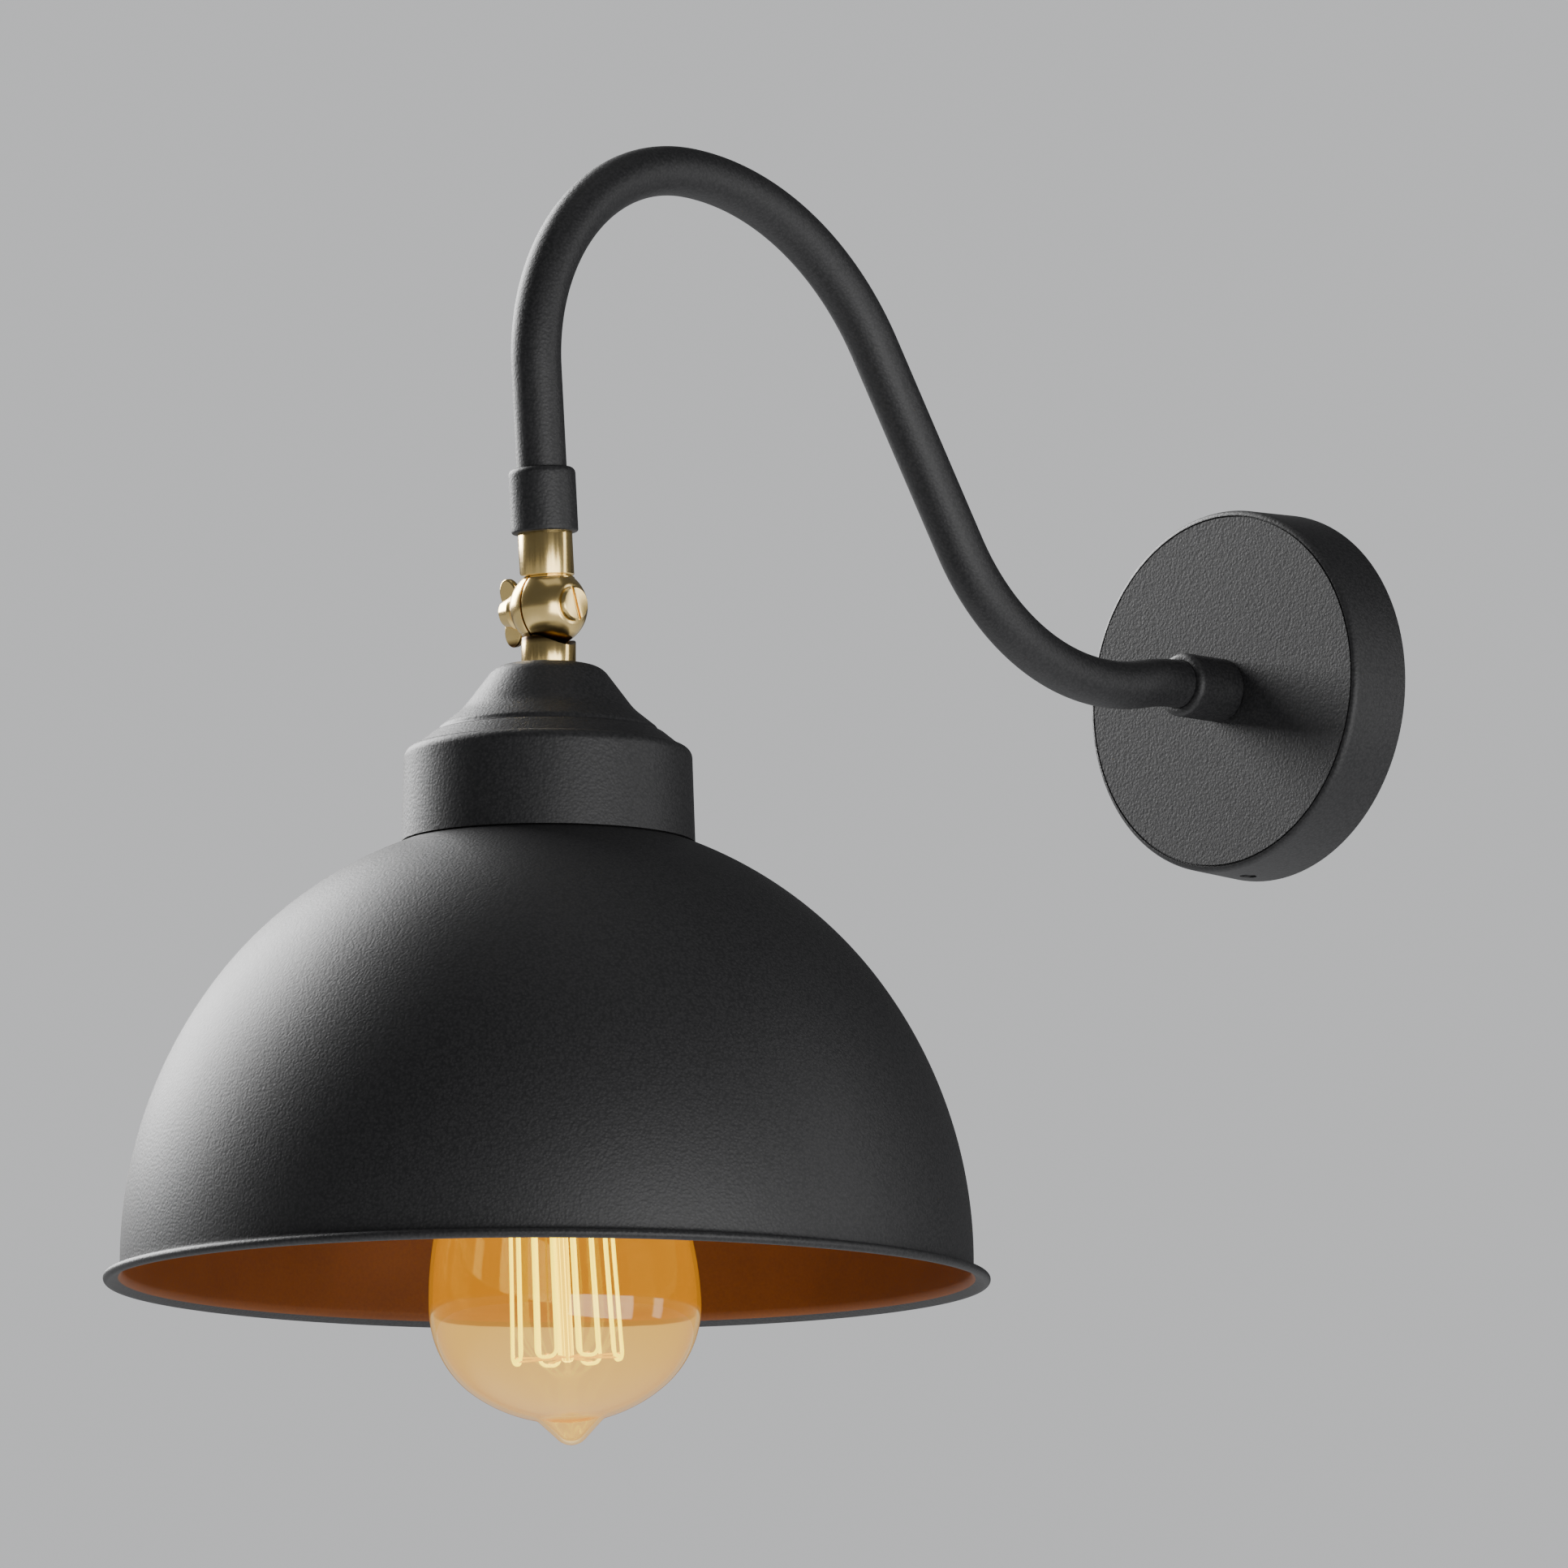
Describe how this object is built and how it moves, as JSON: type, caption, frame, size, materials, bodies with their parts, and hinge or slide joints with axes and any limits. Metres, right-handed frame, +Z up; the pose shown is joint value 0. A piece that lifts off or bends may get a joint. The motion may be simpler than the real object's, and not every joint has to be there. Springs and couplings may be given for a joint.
{
  "type": "gooseneck wall sconce",
  "caption": "Wall light with a bent tube arm, a tilting brass knuckle and a black domed shade round a teardrop filament lamp.",
  "frame": {"origin": "centre of the canopy on the wall, midway between the two wall screw slots", "axes": "+Z up, +Y into the wall, so the lamp reaches out along -Y and the arm lies in the plane X = 0"},
  "size_m": [0.2098, 0.3569, 0.3178],
  "materials": {
    "black_powder_coat": "fine-textured powder coat",
    "lacquered_brass": "polished",
    "zinc_steel": "zinc plated",
    "holder_enamel": "satin enamel",
    "porcelain": "glazed",
    "terminal_plastic": "moulded",
    "contact_brass": "bright",
    "cable_sheath": "matt",
    "core_sheath": "smooth",
    "lamp_brass": "rolled",
    "lamp_black_glass": "glazed",
    "amber_glass": "clear",
    "stem_glass": "clear",
    "filament_wire": "glowing wire",
    "fibre": "matt"
  },
  "bodies": {
    "arm": {"wall_canopy": "black_powder_coat", "mounting_strap": "zinc_steel", "canopy_side_screws": "black_powder_coat", "canopy_nipple": "zinc_steel", "canopy_washer": "zinc_steel", "canopy_nut": "zinc_steel", "terminal_block": "terminal_plastic", "terminal_sleeves": "contact_brass", "terminal_clamp_screws": "zinc_steel", "terminal_block_screw": "zinc_steel", "earth_screw": "contact_brass", "earth_lug": "contact_brass", "arm_tube": "black_powder_coat", "arm_rear_ferrule": "black_powder_coat", "arm_front_ferrule": "black_powder_coat", "arm_cable": "cable_sheath", "canopy_cores": "core_sheath", "upper_knuckle": "lacquered_brass", "pivot_screw": "lacquered_brass", "friction_washer": "fibre"},
    "nut_washer": {"pivot_washer": "lacquered_brass"},
    "wing_nut": {"wing_nut": "lacquered_brass"},
    "head": {"lower_knuckle": "lacquered_brass", "cap_cone": "black_powder_coat", "collar": "black_powder_coat", "dome_shade": "black_powder_coat", "shade_nipple": "zinc_steel", "shade_washer": "zinc_steel", "shade_nut": "zinc_steel", "upper_shade_ring": "holder_enamel", "lower_shade_ring": "holder_enamel", "holder_cap": "holder_enamel", "holder_skirt": "holder_enamel", "holder_insert": "porcelain", "holder_shell": "contact_brass", "holder_contact": "contact_brass", "holder_terminals": "contact_brass", "holder_terminal_screws": "zinc_steel", "holder_rivets": "contact_brass", "holder_grub_screw": "zinc_steel", "head_cable": "cable_sheath", "head_cores": "core_sheath"},
    "lamp_foot": {"lamp_insulator": "lamp_black_glass", "lamp_contact": "lamp_brass"},
    "lamp": {"lamp_cap": "lamp_brass", "lamp_glass": "amber_glass", "lamp_stem": "stem_glass", "lamp_filament": "filament_wire", "lamp_supports": "filament_wire", "lamp_leads": "filament_wire"}
  },
  "joints": [
    {"name": "head_tilt", "type": "hinge", "parent": "arm", "child": "head", "pos_m": [0, -0.25196, -0.0052], "axis": [1, 0, 0], "range_deg": [-85, 50]},
    {"name": "wing_nut_travel", "type": "slide", "parent": "arm", "child": "nut_washer", "axis": [-1, 0, 0], "range_m": [0, 0.0014]},
    {"name": "wing_nut_turn", "type": "hinge", "parent": "nut_washer", "child": "wing_nut", "pos_m": [-0.011, -0.25196, -0.0052], "axis": [-1, 0, 0], "range_deg": [0, 720.1]},
    {"name": "lamp_travel", "type": "slide", "parent": "head", "child": "lamp_foot", "axis": [0, 0, -1], "range_m": [0, 0.02541]},
    {"name": "lamp_turn", "type": "hinge", "parent": "lamp_foot", "child": "lamp", "pos_m": [0, -0.25196, -0.08], "axis": [0, 0, -1], "range_deg": [0, 2520.1]}
  ],
  "couplings": [
    {"joint": "wing_nut_turn", "follows": "wing_nut_travel", "rad_per_m": 8976},
    {"joint": "lamp_turn", "follows": "lamp_travel", "rad_per_m": 1730.9}
  ]
}
